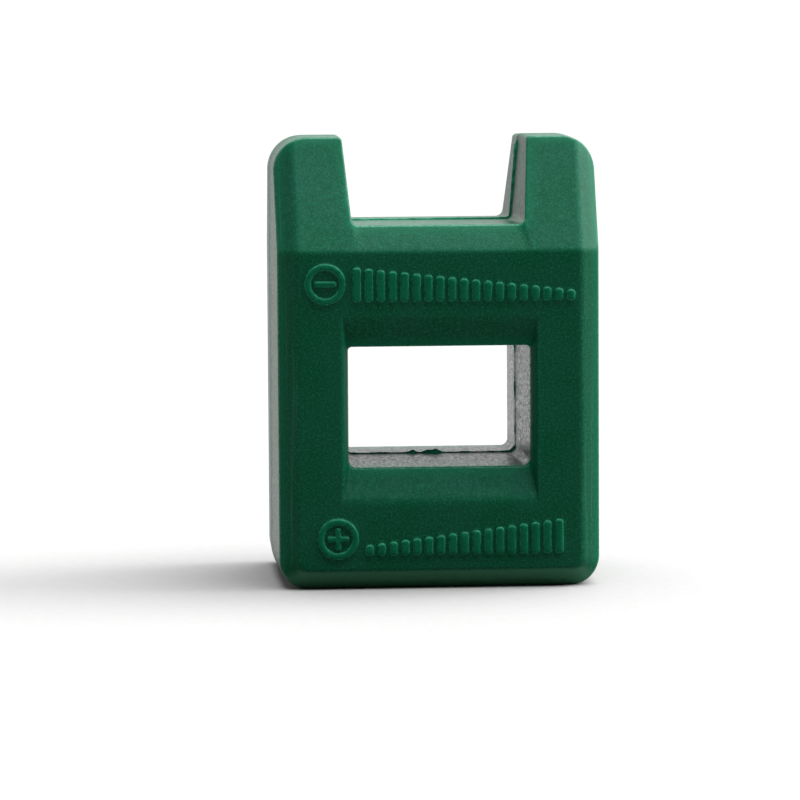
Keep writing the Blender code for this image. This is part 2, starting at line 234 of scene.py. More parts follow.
def window_outline():
    """The window at the parting plane. Inward is mitred, so its corners keep their radius with depth."""
    narrow = WINDOW_DRAFT * (FACE - FLARE_DEPTH)
    half = WINDOW_HALF - narrow
    low, high = WINDOW_LOW + narrow, WINDOW_HIGH - narrow
    loop, inward = rounded_loop([(-half, low, WINDOW_CORNER), (-half, high, WINDOW_TOP_CORNER),
                                 (half, high, WINDOW_TOP_CORNER), (half, low, WINDOW_CORNER)])
    return loop, np.sign(np.round(inward, 2))


def drafted(loop, inward, slope, depth, further=0.0):
    """The outline at a depth, where the draft has moved all but the flat underside into the material."""
    z = loop[:, 1]
    draft = inward.copy()
    draft[z < CORNER, 1] = np.minimum(draft[z < CORNER, 1], 0)
    floor = (z > CREASE_Z) & (z < NOTCH_FLOOR_Z + NOTCH_CORNER) & (draft[:, 1] < 0)
    draft[floor, 1] *= NOTCH_FLOOR_DRAFT
    return loop + draft * (slope * np.asarray(depth)).reshape(-1, 1) + inward * further


def wall_rows(loop, inward, slope):
    """Rows of (x, z, depth) from the parting groove up the wall and over its rounded edge."""
    # The draft moves the outline to where the face has another depth, so this is settled by repeating it.
    top = face_depth(*loop.T)
    for _ in range(SETTLING):
        top = face_depth(*drafted(loop, inward, slope, top - EDGE_RADIUS).T)
    wall_top = top - EDGE_RADIUS
    rows = []
    for depth, back in GROOVE:
        rows.append(np.column_stack([drafted(loop, inward, slope, depth, back), np.full(len(loop), depth)]))
    start = rows[-1][:, 2]
    for share in WALL_SHARES:
        depth = start + (wall_top - start) * share
        rows.append(np.column_stack([drafted(loop, inward, slope, depth), depth]))
    for step in range(EDGE_STEPS + 1):
        angle = math.pi / 2 * step / EDGE_STEPS
        back = EDGE_RADIUS * (1 - math.cos(angle))
        at = drafted(loop, inward, slope, wall_top, back)
        rows.append(np.column_stack([at, face_depth(*at.T) - EDGE_RADIUS * (1 - math.sin(angle))]))
    return rows


# ---------- raised marks ----------

RING = (2.15, 0.62)         # outer radius and width
SIGN = (2.35 / 2, 0.54 / 2)     # half the length and width of a stroke
MINUS = (-12.25, 32.7)
PLUS = (-11.05, 5.5)
BAR_HALF = 0.42
BAR_PITCH = 1.27
BAR_HEIGHTS = (3.6, 1.1)
FALLING_ROW = (-9.3, 30.8, 19)      # left end, foot and number of bars
RISING_ROW = (-8.1, 3.7, 17)
MARK_SLOPE = 0.075          # half the width of a mark's sloping side
MARK_LINES = (1.3, 0.5, -0.4, -1.3)     # lines of points along that side, in half widths
MARK_ROUND = 0.8            # of the half width of a bar or sign, as the radius of its ends
RING_POINTS = 28            # round a ring, for each millimetre of its radius


def bar_row(row, heights):
    left, foot, count = row
    bars = []
    for number in range(count):
        half = (heights[0] + (heights[1] - heights[0]) * number / (count - 1)) / 2
        bars.append((left + number * BAR_PITCH + BAR_HALF, foot + half, BAR_HALF, half))
    return bars


BARS = bar_row(FALLING_ROW, BAR_HEIGHTS) + bar_row(RISING_ROW, BAR_HEIGHTS[::-1])
BARS += [(*MINUS, *SIGN), (*PLUS, *SIGN), (*PLUS, *SIGN[::-1])]


def mark_distance(x, z):
    """Distance outside the nearest mark, negative inside one."""
    nearest = np.full_like(x, FAR)
    for cx, cz, wide, tall in BARS:
        radius = MARK_ROUND * min(wide, tall)
        across = np.abs(x - cx) - wide + radius
        up = np.abs(z - cz) - tall + radius
        outside = np.hypot(np.maximum(across, 0), np.maximum(up, 0))
        nearest = np.minimum(nearest, outside + np.minimum(np.maximum(across, up), 0) - radius)
    for cx, cz in (MINUS, PLUS):
        middle = RING[0] - RING[1] / 2
        nearest = np.minimum(nearest, np.abs(np.hypot(x - cx, z - cz) - middle) - RING[1] / 2)
    return nearest


def mark_share(x, z):
    """1 on top of a mark, 0 off it, with an eased slope between."""
    t = np.clip((MARK_SLOPE - mark_distance(x, z)) / (2 * MARK_SLOPE), 0, 1)
    return t * t * (3 - 2 * t)


def mark_loops():
    """Closed outlines along the foot, flank and shoulder of each mark."""
    loops = []
    for line in MARK_LINES:
        offset = MARK_SLOPE * line
        for cx, cz, wide, tall in BARS:
            w, t = wide + offset, tall + offset
            r = MARK_ROUND * min(wide, tall) + offset
            corners = [(cx - w, cz - t, r), (cx + w, cz - t, r), (cx + w, cz + t, r), (cx - w, cz + t, r)]
            loops.append(rounded_loop(corners)[0])
        for cx, cz in (MINUS, PLUS):
            for radius in (RING[0] + offset, RING[0] - RING[1] - offset):
                turn = np.linspace(0, 2 * np.pi, int(radius * RING_POINTS), endpoint=False)
                loops.append(np.column_stack([cx + radius * np.cos(turn), cz + radius * np.sin(turn)]))
    return loops


# ---------- meshes ----------

def crossings(points, edges):
    """For each point, how many edges a ray along +x meets. An edge is (start x, z, end x, z)."""
    count = np.zeros(len(points), int)
    for ax, az, bx, bz in edges[edges[:, 1] != edges[:, 3]]:
        between = (az > points[:, 1]) != (bz > points[:, 1])
        meets = points[:, 0] < ax + (points[:, 1] - az) * (bx - ax) / (bz - az)
        count += between & meets
    return count


def loop_edges(loop):
    return np.hstack([loop, np.roll(loop, -1, 0)])


def distance_to(points, loop):
    nearest = np.full(len(points), FAR)
    for ax, az, bx, bz in loop_edges(loop):
        run_x, run_z = bx - ax, bz - az
        across, up = points[:, 0] - ax, points[:, 1] - az
        share = np.clip((across * run_x + up * run_z) / (run_x ** 2 + run_z ** 2), 0, 1)
        nearest = np.minimum(nearest, np.hypot(across - share * run_x, up - share * run_z))
    return nearest


def fill(borders, creases=(), loose=()):
    """Triangles between border outlines, where a ray crosses them an odd number of times.

    Borders and creases are arrays of edges that the triangles keep to, and loose points are only used.
    """
    edges = np.vstack([*borders, *creases])
    points = [Vector(p) for p in edges.reshape(-1, 2)] + [Vector(p) for p in loose]
    pairs = [(2 * i, 2 * i + 1) for i in range(len(edges))]
    found = delaunay_2d_cdt(points, pairs, [], 0, SAME_POINT)
    verts = np.array([tuple(v) for v in found[0]])
    faces = np.array([tuple(f) for f in found[2]])
    centres = verts[faces].mean(1)
    return verts, faces[crossings(centres, np.vstack(borders)) % 2 == 1]


def face_points(outer, inner):
    """A plain grid over the face, finer where it bends, clear of the outlines and the marks."""
    fine = STEP / FINE
    xs = np.arange(-WIDTH / 2, WIDTH / 2, fine)
    zs = np.arange(0.0, HEIGHT, fine)
    x, z = np.meshgrid(xs, zs, indexing="ij")
    depth = face_depth(x, z)
    bend = np.zeros_like(depth)
    bend[1:-1] += np.abs(depth[2:] - 2 * depth[1:-1] + depth[:-2])
    bend[:, 1:-1] += np.abs(depth[:, 2:] - 2 * depth[:, 1:-1] + depth[:, :-2])
    i, j = np.indices(depth.shape)
    coarse = (i % FINE == 0) & (j % FINE == 0)
    keep = coarse | (bend > BEND * fine)
    points = np.column_stack([x[keep], z[keep]])
    points = points[crossings(points, np.vstack([loop_edges(outer), loop_edges(inner)])) % 2 == 1]
    clear = np.minimum(distance_to(points, outer), distance_to(points, inner)) > fine * OUTLINE_CLEARANCE
    clear &= np.abs(mark_distance(*points.T)) > MARK_SLOPE * MARK_LINES[0] + MARK_CLEARANCE
    return points[clear]


def new_piece():
    """An empty mesh whose vertices can say how far they are wall, bright from handling and painted sheen,
    and pale from wear and painted highlight.
    """
    bm = bmesh.new()
    for layer in ("wall", "rubbed_and_sheen", "edge"):
        bm.verts.layers.float.new(layer)
    return bm


def new_vert(bm, x, depth, z, wall, rubbed_and_sheen=0.0, edge=0.0):
    """A point of a shell, with what its material needs to know of it."""
    vert = bm.verts.new((x * MM, -depth * MM, z * MM))
    layers = bm.verts.layers.float
    vert[layers["wall"]] = wall
    vert[layers["rubbed_and_sheen"]] = rubbed_and_sheen
    vert[layers["edge"]] = edge
    return vert


def add_strip(bm, rows, gloss):
    """Quads between rows of vertices that each close on themselves, with the gloss of each column."""
    made = []
    turned = len(rows) - 1 - EDGE_STEPS
    for number, row in enumerate(rows):
        over = max(0, number - turned) / EDGE_STEPS
        # Over the rounded edge the vertices get pale wear with a painted highlight, and a painted sheen.
        edge = RIM_WEAR_AND_HIGHLIGHT * math.sin(math.pi * over)
        made.append([new_vert(bm, x, depth, z, shine * (1 - over), RIM_RUB_AND_SHEEN * over, edge)
                     for (x, z, depth), shine in zip(row, gloss)])
    for low, high in zip(made, made[1:]):
        count = len(low)
        for i in range(count):
            after = (i + 1) % count
            bm.faces.new((low[i], low[after], high[after], high[i]))


def add_filled(bm, verts, faces, depths, rubbed_and_sheen, edges):
    """Triangles from points given as (x, z) and depth, with their wear, painted sheen and painted highlight.
    """
    made = []
    for (x, z), depth, share, edge in zip(verts, depths, rubbed_and_sheen, edges):
        made.append(new_vert(bm, x, depth, z, 0.0, share, edge))
    for face in faces:
        bm.faces.new([made[i] for i in face])


def carried_inside(node):
    """The CAD shell's ribs, pockets and pins: its mesh less the outside and the parting faces."""
    bm = new_piece()
    bm.from_mesh(node.data)
    bmesh.ops.remove_doubles(bm, verts=bm.verts[:], dist=CAD_WELD)
    centres = np.array([face.calc_center_median() for face in bm.faces]) / MM
    x, depth, z = centres[:, 0], -centres[:, 1], centres[:, 2]
    at = np.column_stack([x, z])
    near = np.minimum(distance_to(at, case_outline()[0]), distance_to(at, window_outline()[0]))
    outside = (near < WALL / 2 + WINDOW_DRAFT * depth) | (depth > face_depth(x, z) - WALL / 2)
    flush = [all(abs(v.co.y / MM + CAD_SPLIT) < FLAT for v in face.verts) for face in bm.faces]
    gone = [face for face, skip in zip(bm.faces, outside | np.array(flush)) if skip]
    bmesh.ops.delete(bm, geom=gone, context="FACES")
    for vert in bm.verts:
        if abs(vert.co.y / MM + CAD_SPLIT) < FLAT:
            vert.co.y = -SPLIT * MM
    return bm


def shell_mesh(node):
    """A whole shell: fine outside, parting face, and the CAD's own inside."""
    bm = carried_inside(node)
    rims = [[c / MM for v in edge.verts for c in (v.co.x, v.co.z)] for edge in bm.edges if edge.is_boundary]

    outer_rows = wall_rows(*case_outline(), DRAFT)
    inner_rows = wall_rows(*window_outline(), WINDOW_DRAFT)
    x, z = outer_rows[0][:, 0], outer_rows[0][:, 1]
    in_notch = (np.abs(x) < NOTCH_MOUTH) & (z > NOTCH_FLOOR_Z + NOTCH_CORNER)
    add_strip(bm, outer_rows, np.where(in_notch, NOTCH_GLOSS, OUTER_GLOSS))
    add_strip(bm, inner_rows, np.ones(len(inner_rows[0])))

    outer, inner = outer_rows[-1][:, :2], inner_rows[-1][:, :2]
    borders = [loop_edges(outer), loop_edges(inner)]
    creases = [loop_edges(loop) for loop in mark_loops()]
    verts, faces = fill(borders, creases, face_points(outer, inner))
    x, z = verts.T
    raised = mark_share(x, z)
    # The marks' flanks and the face's folds get pale wear with a painted highlight.
    edges = np.maximum(4 * raised * (1 - raised), FOLD_WEAR_AND_HIGHLIGHT * ridge(x, z))
    # The marks' tops and the face's rims get a painted sheen as well as handling wear.
    rim = np.minimum(distance_to(verts, outer), distance_to(verts, inner))
    rubbed_and_sheen = np.maximum(raised, RIM_RUB_AND_SHEEN * np.exp(-(rim / RIM_REACH) ** 2))
    add_filled(bm, verts, faces, face_depth(x, z) + MARK_HEIGHT * raised, rubbed_and_sheen, edges)

    borders = [loop_edges(outer_rows[0][:, :2]), loop_edges(inner_rows[0][:, :2]), np.array(rims)]
    verts, faces = fill(borders)
    plain = np.zeros(len(verts))
    add_filled(bm, verts, faces, plain + SPLIT, plain, plain)

    bmesh.ops.remove_doubles(bm, verts=bm.verts[:], dist=SHELL_WELD)
    bmesh.ops.recalc_face_normals(bm, faces=bm.faces[:])
    return bm


def finish_piece(name, bm, material, nodes=()):
    """A visible piece on the root body, shown in place of the named CAD nodes."""
    mesh = bpy.data.meshes.new(name)
    bm.to_mesh(mesh)
    bm.free()
    mesh.shade_smooth()
    mesh.set_sharp_from_angle(angle=math.radians(SMOOTH_ANGLE))
    mesh.materials.append(material)
    piece = bpy.data.objects.new(name, mesh)
    bpy.context.scene.collection.objects.link(piece)
    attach(piece, "root")
    if nodes:
        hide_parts(*nodes)


# ---------- weld flash ----------

FLASH_SIDES = 10            # of the fin's round section
FLASH_ROOT = 0.25           # how deep the flash is rooted in the walls
FLASH_SUNK = -0.09          # where it stays below the surface
FLASH_WANDER = 0.06         # how far it strays from the parting plane
FLASH_THICK = (0.06, 0.04)      # half its thickness, and how much that can grow
LUMP_THICK = 0.4            # and grows with the height of a lump
COARSE_RAG, FINE_RAG = 0.7, 2.4     # waves a millimetre in the fin's edge
THICK_WAVES, STRAY_WAVES = 1.1, 1.3     # and in its thickness and straying
WINDOW_FIN = 0.1            # how far it stands out over and under the window
WINDOW_SIDE_FIN = 0.03
WINDOW_SIDE_HALF = 5.5
NOTCH_FIN_LEFT = 0.22       # above its sunk level in each half of the notch
NOTCH_FIN_RIGHT = 0.27
NOTCH_FIN_GROWTH = 0.012    # and more for each millimetre up the right horn
HORN_TIP = 0.3              # where it has faded out, below the top
WINDOW_LUMPS = ((-1.9, 0.4, 0.2), (-0.3, 0.5, 0.24), (0.6, 0.5, 0.22), (4.0, 0.4, 0.06))   # x, reach, height
WINDOW_RAG, WINDOW_SEED = 0.14, 3.0
OUTER_RAG, OUTER_SEED = 0.08, 11.0


def lump_height(x, z, lumps):
    """How much further the flash stands out near each lump, given as (x, z, reach, height)."""
    return sum(height * math.exp(-((x - cx) ** 2 + (z - cz) ** 2) / reach ** 2)
               for cx, cz, reach, height in lumps)


def window_flash(x, z):
    """Flash inside the window, hardly there up its sides."""
    beside = abs(z - (WINDOW_LOW + WINDOW_HIGH) / 2) < WINDOW_SIDE_HALF
    return WINDOW_SIDE_FIN if beside else WINDOW_FIN


def notch_flash(x, z):
    """Flash inside the notch, fading out at the horns' tips. Round the outside it stays sunk."""
    inside = abs(x) < NOTCH_MOUTH and z > NOTCH_FLOOR_Z - STEP
    tall = NOTCH_FIN_RIGHT + NOTCH_FIN_GROWTH * (z - NOTCH_FLOOR_Z) if x > 0 else NOTCH_FIN_LEFT
    return FLASH_SUNK + tall * min(max(HEIGHT - HORN_TIP - z, 0), 1) * inside


def waver(x, z, scale, seed):
    """Smooth unevenness along an outline, between about -1 and 1."""
    return noise.noise((x * scale, seed, z * scale))


def add_flash(name, outline, material, stand, rag_share, seed, lumps=()):
    """Ragged fin of plastic squeezed out of the parting line round one outline.

    Stand gives how far it reaches out of the wall at each (x, z), before its raggedness and lumps.
    """
    loop, inward = refine(*outline)
    bm = bmesh.new()
    rings = []
    for (x, z), (nx, nz) in zip(loop, inward):
        rag = waver(x, z, COARSE_RAG, seed) + 0.5 * waver(x, z, FINE_RAG, seed)
        lump = lump_height(x, z, lumps)
        reach = stand(x, z) + rag_share * max(0.0, rag) + lump
        thick = FLASH_THICK[0] + FLASH_THICK[1] * max(0.0, waver(x, z, THICK_WAVES, seed + 3))
        thick += LUMP_THICK * lump
        shift = FLASH_WANDER * waver(x, z, STRAY_WAVES, seed + 7)
        ring = []
        for side in range(FLASH_SIDES):
            angle = 2 * math.pi * side / FLASH_SIDES
            out = (reach - FLASH_ROOT) / 2 + (reach + FLASH_ROOT) / 2 * math.cos(angle)
            depth = shift + thick * math.sin(angle)
            ring.append(bm.verts.new(((x - nx * out) * MM, -depth * MM, (z - nz * out) * MM)))
        rings.append(ring)
    for ring, following in zip(rings, rings[1:] + rings[:1]):
        for side in range(FLASH_SIDES):
            after = (side + 1) % FLASH_SIDES
            bm.faces.new((ring[side], ring[after], following[after], following[side]))
    bmesh.ops.recalc_face_normals(bm, faces=bm.faces[:])
    finish_piece(name, bm, material)


def refine(loop, inward):
    """The outline with points every quarter step."""
    fine_loop = []
    fine_in = []
    for i in range(len(loop)):
        after = (i + 1) % len(loop)
        steps = max(1, round(np.linalg.norm(loop[after] - loop[i]) / (STEP / 4)))
        for share in np.arange(steps) / steps:
            fine_loop.append(loop[i] + (loop[after] - loop[i]) * share)
            fine_in.append(inward[i] + (inward[after] - inward[i]) * share)
    return fine_loop, fine_in


# ---------- materials ----------

# Colours of the green plastic, each laid over the one before it
MOULDED = (0.0004, 0.0405, 0.0165, 1)
HAZED = (0.0021, 0.0415, 0.021, 1)
MOTTLED = (0.0045, 0.073, 0.039, 1)
# Handling wear and painted sheen
HANDLED_AND_SHEEN = (0.001, 0.09, 0.042, 1)
# Edge wear and painted highlight
WORN_AND_HIGHLIGHT = (0.02, 0.19, 0.11, 1)
DRAGGED = (0.03, 0.13, 0.085, 1)
SPECKED = (0.08, 0.2, 0.13, 1)
# Painted light from below, on faces turned down near the underside
UNDERSIDE_PAINTED_LIGHT = (0.038, 0.125, 0.07, 1)
DUSTY = (0.035, 0.165, 0.13, 1)

# Pale flash colours: partly thin translucent plastic, partly painted light standing in for light on the
# flash
THIN_PLASTIC_PAINTED_LIGHT = ((0.01, 0.26, 0.14, 1), (0.03, 0.42, 0.24, 1))
SINTERED = ((0.016, 0.016, 0.018, 1), (0.06, 0.06, 0.063, 1))
MAGNET_STAIN = (0.05, 0.042, 0.038, 1)
ZINC = ((0.56, 0.58, 0.62, 1), (0.66, 0.63, 0.56, 1))
ROLLED_ZINC = (0.42, 0.43, 0.45, 1)
PAPER = ((0.225, 0.225, 0.224, 1), (0.235, 0.235, 0.234, 1))

# How fine each pattern in the green plastic is, in waves for each metre
CLOUDS = 230
RIPPLES = 420
LINE_GRIME = 900
CORNER_GRIME = 1300
DUST = 1300
SPECKS = 2000
SMEARS = 2600
PITS = 2800
GLOSS_PATCHES = 3000
WEAR = 3200
MOTTLE = 4600
FINE_GRAIN = 5200
DRAWN_LINES = (2400, 0, 35)
DRAWN = (1, 0.4, 1)         # the walls' patterns are drawn out along the way the mould opens

# How deep its bumps are, in metres
RIPPLE_DEPTH = 0.00004
PIT_DEPTH = 0.00002
GRAIN_DEPTH = 0.000024

# Where the painted light from below and grime lie, in metres: from where each starts to show to where it is
# at its full share
UNDERSIDE_LIGHT_HEIGHT = (0.0035, 0.0015)     # above the underside
GRIME_HEIGHT = (0.0152, 0.0136)     # towards the window's lower wall
GRIME_REACH = (0.0118, 0.0105)      # to each side of the middle, so the outer walls have none
CORNER_REACH = (0.0078, 0.0094)     # to each side, where the window's lower corners begin
LINE_REACH = (0.0021, 0.0055)       # off the parting line, where the walls are clean again
LINE_WANDER = 0.004                 # unevenness that is added to the distance from that line

# How steeply the surface has to lean, by its normal, from the start to the full share
SIDE_LEAN = (0.3, 0.6)
UNDER_LEAN = (-0.3, -0.6)
DUST_LEAN = (0.15, 0.45)


def add_node(tree, kind, inputs=(), **settings):
    """A shader node with its settings, and its inputs set to values or linked to other nodes' outputs."""
    made = tree.nodes.new(f"ShaderNode{kind}")
    for setting, value in settings.items():
        setattr(made, setting, value)
    for socket, value in dict(inputs).items():
        if isinstance(value, bpy.types.NodeSocket):
            tree.links.new(value, made.inputs[socket])
        else:
            made.inputs[socket].default_value = value
    return made


def grain(tree, place, scale, detail=2.0, roughness=0.5):
    """Noise from 0 to 1 around 0.5, with this many waves for each metre."""
    inputs = {"Vector": place, "Scale": scale, "Detail": detail, "Roughness": roughness}
    return add_node(tree, "TexNoise", inputs).outputs["Fac"]


def stretch(tree, place, scale):
    return add_node(tree, "Mapping", {"Vector": place, "Scale": scale}).outputs["Vector"]


def split(tree, vector):
    """Sockets for the x, y and z of a vector."""
    return add_node(tree, "SeparateXYZ", {0: vector}).outputs


def eased(tree, value, start, end, low=0.0, high=1.0):
    """Low up to start, high from end on, with a smooth step between. Start may be above end."""
    inputs = {"Value": value, "From Min": start, "From Max": end, "To Min": low, "To Max": high}
    return add_node(tree, "MapRange", inputs, interpolation_type="SMOOTHSTEP").outputs["Result"]


def maths(tree, operation, a, b=0.0):
    return add_node(tree, "Math", {0: a, 1: b}, operation=operation).outputs[0]


def times(tree, first, *others):
    """All the values multiplied together."""
    for other in others:
        first = maths(tree, "MULTIPLY", first, other)
    return first


def rest_of(tree, share):
    return maths(tree, "SUBTRACT", 1.0, share)


def blend_colour(tree, share, a, b):
    """Colour a where the share is 0, b where it is 1."""
    made = add_node(tree, "Mix", {0: share, 6: a, 7: b}, data_type="RGBA")
    return made.outputs[2]


def attribute(tree, name):
    return add_node(tree, "Attribute", attribute_name=name).outputs["Fac"]


def bump(tree, height, depth, strength, under=None):
    """A normal from a height of this many metres, over another normal if one is given."""
    inputs = {"Height": height, "Distance": depth, "Strength": strength}
    if under:
        inputs["Normal"] = under
    return add_node(tree, "Bump", inputs).outputs["Normal"]


def new_material(name):
    """An empty node material: its tree, its shader, and the place of each point in metres."""
    material = bpy.data.materials.new(name)
    material.use_nodes = True
    tree = material.node_tree
    shader = tree.nodes["Principled BSDF"]
    place = add_node(tree, "TexCoord").outputs["Object"]
    return material, tree, shader, place


def finish_material(tree, shader, links, values):
    """Links what varies over the surface, and sets what doesn't on the shader itself."""
    for socket, value in links.items():
        tree.links.new(value, shader.inputs[socket])
    for socket, value in values.items():
        shader.inputs[socket].default_value = value


def plastic_colour(tree, place, mottle, wall):
    """Deep green, hazy and mottled, paler where handling, wear and dust lie, with painted sheen and
    highlight on rims and edges and painted light from below on faces turned down near the underside.
    """
    rubbed_and_sheen, edge = attribute(tree, "rubbed_and_sheen"), attribute(tree, "edge")
    facing = split(tree, add_node(tree, "NewGeometry").outputs["Normal"])
    across, _, up = facing[:3]
    height = split(tree, place)[2]

    haze = times(tree, eased(tree, grain(tree, place, CLOUDS, 3), 0.35, 0.62), rest_of(tree, rubbed_and_sheen))
    colour = blend_colour(tree, haze, MOULDED, HAZED)
    colour = blend_colour(tree, eased(tree, mottle, 0.42, 0.71), colour, MOTTLED)
    # Handling wear and painted sheen on the marks' tops and the face's rims
    colour = blend_colour(tree, times(tree, rubbed_and_sheen, 0.55), colour, HANDLED_AND_SHEEN)
    # Pale edges: wear and a painted highlight along the rounded edges, marks' flanks and folds
    worn_and_highlight = times(tree, edge, eased(tree, grain(tree, place, WEAR, 2), 0.4, 0.6, 0.1, 0.9))
    colour = blend_colour(tree, worn_and_highlight, colour, WORN_AND_HIGHLIGHT)

    # Fine lines up and down the steep sides, left as the shell was drawn out of its mould
    lines = eased(tree, grain(tree, stretch(tree, place, DRAWN_LINES), 1, 3, 0.6), 0.52, 0.72)
    lines = times(tree, lines, eased(tree, maths(tree, "ABSOLUTE", across), *SIDE_LEAN), 0.3)
    colour = blend_colour(tree, lines, colour, DRAGGED)

    # A pale speck in about one cell in twelve
    cells = add_node(tree, "TexVoronoi", {"Vector": place, "Scale": SPECKS})
    speck = eased(tree, cells.outputs["Distance"], 0.16, 0.06)
    chosen = eased(tree, split(tree, cells.outputs["Color"])[0], 0.91, 0.94)
    colour = blend_colour(tree, times(tree, speck, chosen, 0.3), colour, SPECKED)

    # Painted light from below, on faces turned down near the underside
    underside_light = times(tree, eased(tree, up, *UNDER_LEAN), eased(tree, height, *UNDERSIDE_LIGHT_HEIGHT), 0.8)
    colour = blend_colour(tree, underside_light, colour, UNDERSIDE_PAINTED_LIGHT)
    dust = eased(tree, grain(tree, place, DUST, 4, 0.7), 0.35, 0.65, 0.05, 0.12)
    dust = times(tree, dust, eased(tree, up, *DUST_LEAN), rest_of(tree, wall))
    return blend_colour(tree, dust, colour, DUSTY)


def plastic_roughness(tree, drawn, mottle, wall):
    """Satin, smoother and smeared on the walls, and smoother where it is rubbed."""
    rough = maths(tree, "SUBTRACT", eased(tree, mottle, 0.3, 0.7, 0.4, 0.5), times(tree, wall, 0.15))
    smear = eased(tree, grain(tree, drawn, SMEARS, 4, 0.65), 0.4, 0.62, -0.02, 0.08)
    rough = maths(tree, "ADD", rough, times(tree, smear, wall))
    return maths(tree, "SUBTRACT", rough, times(tree, attribute(tree, "rubbed_and_sheen"), 0.06))


def plastic_bump(tree, place, drawn, wall):
    """Slow waves on the face, small pits on the walls, and a fine moulded grain over both."""
    waves = bump(tree, grain(tree, place, RIPPLES, 1), RIPPLE_DEPTH, times(tree, rest_of(tree, wall), 0.5))
    pits = bump(tree, grain(tree, drawn, PITS, 4, 0.65), PIT_DEPTH, times(tree, wall, 0.6), waves)
    return bump(tree, grain(tree, place, FINE_GRAIN, 2, 0.6), GRAIN_DEPTH, 0.9, pits)


def wall_gloss(tree, place, drawn, wall):
    """Patchy gloss on the walls, lost to grime along the parting line and low in the window."""
    across, along, height = split(tree, place)[:3]
    patches = eased(tree, grain(tree, drawn, GLOSS_PATCHES, 4, 0.7), 0.4, 0.6, 0.08, 0.58)
    wander = times(tree, grain(tree, place, LINE_GRIME, 3, 0.65), LINE_WANDER)
    off_line = maths(tree, "ADD", maths(tree, "ABSOLUTE", along), wander)
    clean = eased(tree, off_line, *LINE_REACH, 0.2, 1.0)

    beside = maths(tree, "ABSOLUTE", across)
    grime = times(tree, eased(tree, height, *GRIME_HEIGHT), eased(tree, beside, *GRIME_REACH))
    grime = times(tree, grime, eased(tree, grain(tree, place, CORNER_GRIME, 3, 0.6), 0.36, 0.6))
    grime = times(tree, grime, eased(tree, beside, *CORNER_REACH, 0.35, 0.75))
    return times(tree, wall, patches, clean, rest_of(tree, grime))


def green_plastic():
    """Satin moulded plastic, made of the vertices' wall, handling and edge values and of noise; the last two
    hold painted sheen and highlight as well as wear.
    """
    material, tree, shader, place = new_material("green_plastic")
    wall = attribute(tree, "wall")
    mottle = grain(tree, place, MOTTLE, 3, 0.6)
    drawn = stretch(tree, place, DRAWN)
    links = {
        "Base Color": plastic_colour(tree, place, mottle, wall),
        "Roughness": plastic_roughness(tree, drawn, mottle, wall),
        "Normal": plastic_bump(tree, place, drawn, wall),
        "Coat Weight": wall_gloss(tree, place, drawn, wall),
    }
    finish_material(tree, shader, links, {"IOR": 1.45, "Specular IOR Level": 0.045, "Coat Roughness": 0.22})
    return material


def thin_flash_painted_light():
    """The same plastic squeezed out thin enough to let light through, its colour painted pale as well to
    stand in for light falling on the flash.
    """
    material, tree, shader, place = new_material("thin_flash_painted_light")
    cloud = grain(tree, place, 1400, 3)
    links = {
        "Base Color": blend_colour(tree, eased(tree, cloud, 0.35, 0.65), *THIN_PLASTIC_PAINTED_LIGHT),
        "Normal": bump(tree, grain(tree, place, 2600, 2), 0.00002, 0.8),
    }
    finish_material(tree, shader, links, {"Roughness": 0.5, "IOR": 1.2, "Transmission Weight": 0.5})
    return material


def ferrite():
    """Matt sintered magnet: charcoal, with a coarse speckle and a faint brown stain."""
    material, tree, shader, place = new_material("ferrite")
    speckle = grain(tree, place, 3800, 4, 0.7)
    stain = eased(tree, grain(tree, place, 260, 3), 0.5, 0.75, 0, 0.4)
    colour = blend_colour(tree, eased(tree, speckle, 0.35, 0.7), *SINTERED)
    pits = bump(tree, grain(tree, place, 1900, 4, 0.7), 0.00003, 0.7)
    links = {
        "Base Color": blend_colour(tree, stain, colour, MAGNET_STAIN),
        "Roughness": eased(tree, speckle, 0.3, 0.7, 0.5, 0.75),
        "Normal": bump(tree, speckle, 0.00001, 0.6, pits),
    }
    finish_material(tree, shader, links, {})
    return material


def plated_steel():
    """Zinc-plated strip, rolled along its length, with a faint bluish and straw-coloured bloom."""
    material, tree, shader, place = new_material("plated_steel")
    rolled = grain(tree, stretch(tree, place, (6000, 6000, 90)), 1, 3, 0.6)
    bloom = grain(tree, place, 240, 3, 0.6)
    colour = blend_colour(tree, eased(tree, bloom, 0.35, 0.65), *ZINC)
    links = {
        "Base Color": blend_colour(tree, eased(tree, rolled, 0.4, 0.75, 0, 0.5), colour, ROLLED_ZINC),
        "Roughness": eased(tree, rolled, 0.3, 0.7, 0.26, 0.42),
        "Normal": bump(tree, rolled, 0.000006, 0.6),
    }
    finish_material(tree, shader, links, {"Metallic": 1.0})
    return material


def floor_paper():
    material, tree, shader, place = new_material("floor_paper")
    fibre = grain(tree, place, 900, 4, 0.6)
    links = {"Base Color": blend_colour(tree, eased(tree, fibre, 0.3, 0.7), *PAPER)}
    finish_material(tree, shader, links, {"Roughness": 0.9, "Specular IOR Level": 0.1})
    return material


# ---------- assembly ----------

FLOOR_RADIUS = 20.0
CAMERA_PLACE = Vector((-0.03852, -0.45325, 0.05706))
CAMERA_FORWARD = Vector((0.07723, 0.99355, -0.08306))
CAMERA_UP = Vector((0.01253, 0.08234, 0.99653))
LENS = 187.1                # mm, on a sensor 36 mm wide
DIM, BRIGHT = 0.1, 1.06     # the studio behind the camera and beyond the block
DIM_TO_BRIGHT = (-0.1, 0.7)     # where one turns into the other, by how far a direction points ahead


def dress_inside():
    """The magnets and strips stay as the CAD has them, with better materials."""
    magnet, strip = ferrite(), plated_steel()
    for name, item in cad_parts.items():
        material = magnet if name.endswith("magnet") else strip
        if not name.endswith("shell"):
            for slot in item.material_slots:
                slot.material = material


